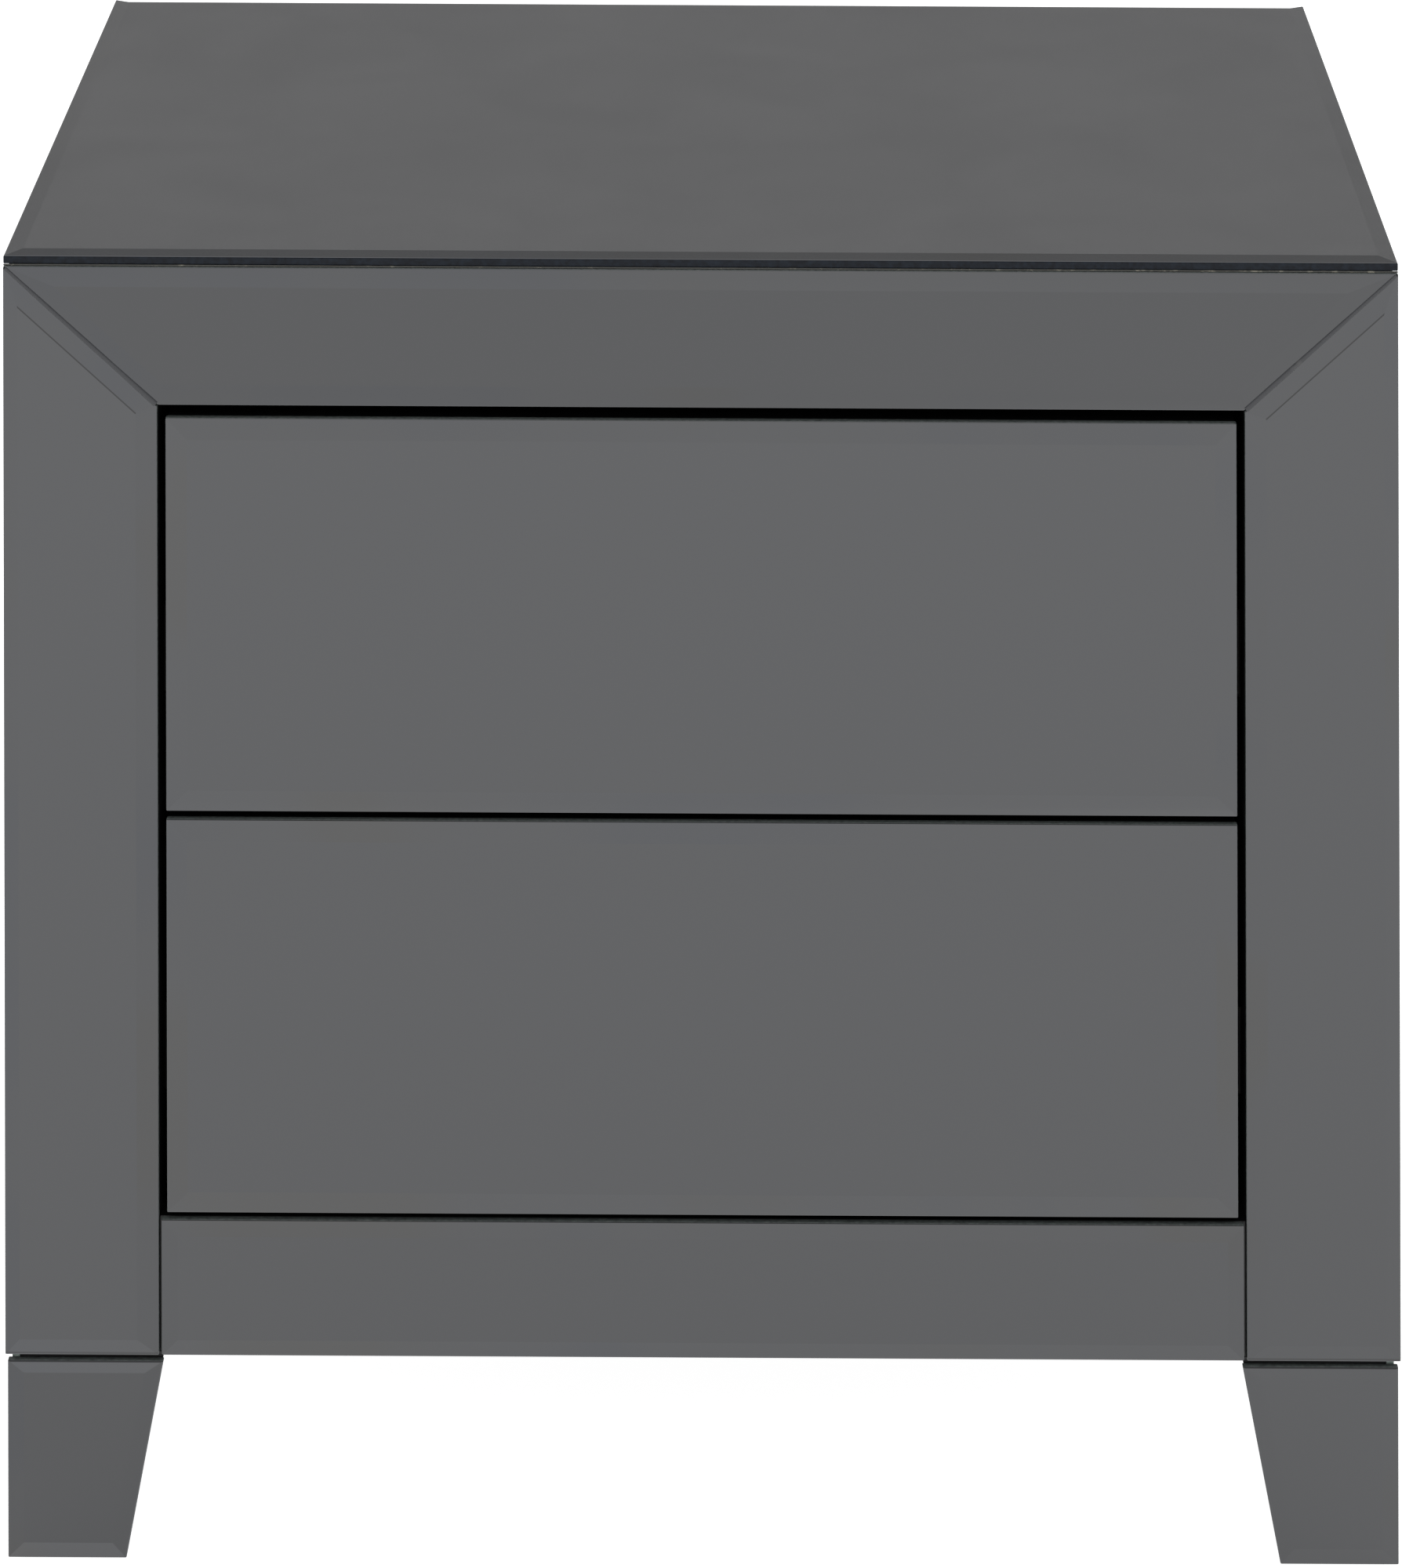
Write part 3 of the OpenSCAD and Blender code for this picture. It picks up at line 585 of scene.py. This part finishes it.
def addMitreFill(side, sign):        # fills the mitre between the stile's mirror and the top rail's
    stileLow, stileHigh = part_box(side + "_stile_mirror")
    railLow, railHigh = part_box("top_rail_mirror")
    inner = min(abs(stileLow.x), abs(stileHigh.x))
    y = stileLow.y + mitreFill["sunk"]
    start = Vector((sign * inner, y, railLow.z))
    end = Vector((sign * railHigh.x, y, stileHigh.z))
    along = (end - start).normalized() * mitreFill["end"]
    addBead(side + "_mitre_adhesive", mitreFill, start + along, end - along, greyAdhesive)


print("adhesive")
addTopBead()
addMitreFill("left", -1)
addMitreFill("right", 1)


# Floor, world, lights and camera

print("stage")
stage = {
    "radius": 60.0,
    "rough": 0.6,
    "glow": (0.92, 1.02),            # lit from below as on a light table, a little less near the cabinet: painted shade of the cabinet
    "fade": (0.35, 1.5),
    "far": (6.5, 16.0),              # then it dims until it meets the sky, as a curved studio backdrop does
    "farGlow": 0.33,
}


def addFloor():
    mesh = bmesh.new()
    bmesh.ops.create_circle(mesh, cap_ends=True, segments=96, radius=stage["radius"])
    data = bpy.data.meshes.new("floor")
    mesh.to_mesh(data)
    mesh.free()
    floor = bpy.data.objects.new("floor", data)
    scene.collection.objects.link(floor)
    material, tree, shader = startMaterial("matt pale floor")
    place = addNode(tree, "ShaderNodeTexCoord").outputs["Object"]
    cloud = addNode(tree, "ShaderNodeTexNoise", {"Scale": 0.6, "Detail": 3.0},
                    {"Vector": place}).outputs["Fac"]
    away = addNode(tree, "ShaderNodeVectorMath", {"operation": "LENGTH"}, {0: place}).outputs["Value"]
    # painted shade: the floor's glow rises with distance from the cabinet
    glow = addNode(tree, "ShaderNodeMapRange", {"From Min": stage["fade"][0], "From Max": stage["fade"][1],
                                                "To Min": stage["glow"][0], "To Max": stage["glow"][1]},
                   {"Value": away}).outputs["Result"]
    dim = addNode(tree, "ShaderNodeMapRange", {"From Min": stage["far"][0], "From Max": stage["far"][1],
                                               "To Min": 1.0, "To Max": stage["farGlow"]},
                  {"Value": away}).outputs["Result"]
    light = addNode(tree, "ShaderNodeMath", {"operation": "MULTIPLY"}, {0: glow, 1: dim}).outputs[0]
    colour = addNode(tree, "ShaderNodeValToRGB", {"stops": [(0.2, "#e6e6e6"), (0.8, "#eaeaea")]},
                     {"Fac": cloud})
    useSettings(shader, {"Roughness": stage["rough"], "Specular IOR Level": 0.0,
                         "Emission Color": (1, 1, 1, 1)})
    linkTo(tree, shader, {"Base Color": colour.outputs["Color"], "Emission Strength": light})
    data.materials.append(material)


sky = [(0, 0.95), (2.5, 0.93), (10, 0.37), (14.5, 0.385),   # (elevation in degrees, brightness)
       (17.5, 0.475), (33, 0.435), (60, 0.52), (90, 0.6)]


def setWorld():
    world = bpy.data.worlds.new("studio")
    scene.world = world
    world.use_nodes = True
    tree = world.node_tree
    tree.nodes.clear()
    direction = addNode(tree, "ShaderNodeTexCoord").outputs["Generated"]
    height = addNode(tree, "ShaderNodeSeparateXYZ", {}, {"Vector": direction}).outputs["Z"]
    stops = [(math.sin(math.radians(elevation)), (b, b, b * 1.01, 1)) for elevation, b in sky]
    ramp = addNode(tree, "ShaderNodeValToRGB", {"stops": stops}, {"Fac": height})
    light = addNode(tree, "ShaderNodeBackground", {}, {"Color": ramp.outputs["Color"]})
    addNode(tree, "ShaderNodeOutputWorld", {}, {"Surface": light.outputs[0]})


lights = {
    "overhead": {"elevation": 70, "azimuth": 180, "angle": 80, "strength": 1.0, "inMirrors": True},
}


def addSun(name, s):                 # azimuth 180 is in front of the cabinet
    lamp = bpy.data.lights.new(name, "SUN")
    lamp.energy = s["strength"]
    lamp.angle = math.radians(s["angle"])
    sun = bpy.data.objects.new(name, lamp)
    scene.collection.objects.link(sun)
    e, a = math.radians(s["elevation"]), math.radians(s["azimuth"])
    towards = Vector((math.cos(e) * math.sin(a), math.cos(e) * math.cos(a), math.sin(e)))
    sun.rotation_euler = towards.to_track_quat("Z", "Y").to_euler()
    sun.visible_glossy = s["inMirrors"]


# A view camera: its lens looks down at the cabinet while its back stays upright, so the upright edges
# stay parallel. It stands in for a level 125.9 mm lens shifted down by 1.43 frame heights, and a view
# that unparents the camera loses that shift. These numbers are the output of a numerical fit.
viewCamera = {
    "place": (25.2 * mm, -2350.2 * mm, 1193.9 * mm),
    "forward": (-0.010913, 0.925184, -0.379361),
    "right": (0.999986, 0, 0.005376),
    "up": (0.002282, 0, 0.999997),
    "lens": 136.07,
}


def addCamera():
    s = viewCamera
    lens = bpy.data.cameras.new("camera")
    lens.lens = s["lens"]
    lens.clip_end = 200
    camera = bpy.data.objects.new("camera", lens)
    stand = bpy.data.objects.new("camera stand", None)
    scene.collection.objects.link(stand)
    scene.collection.objects.link(camera)
    columns = [s["right"], s["up"], [-v for v in s["forward"]], s["place"]]
    camera.parent = stand
    camera.matrix_parent_inverse = Matrix([[c[row] for c in columns] for row in range(3)] + [[0, 0, 0, 1]])
    scene.camera = camera


addFloor()
setWorld()
for name, settings in lights.items():
    addSun(name, settings)
addCamera()
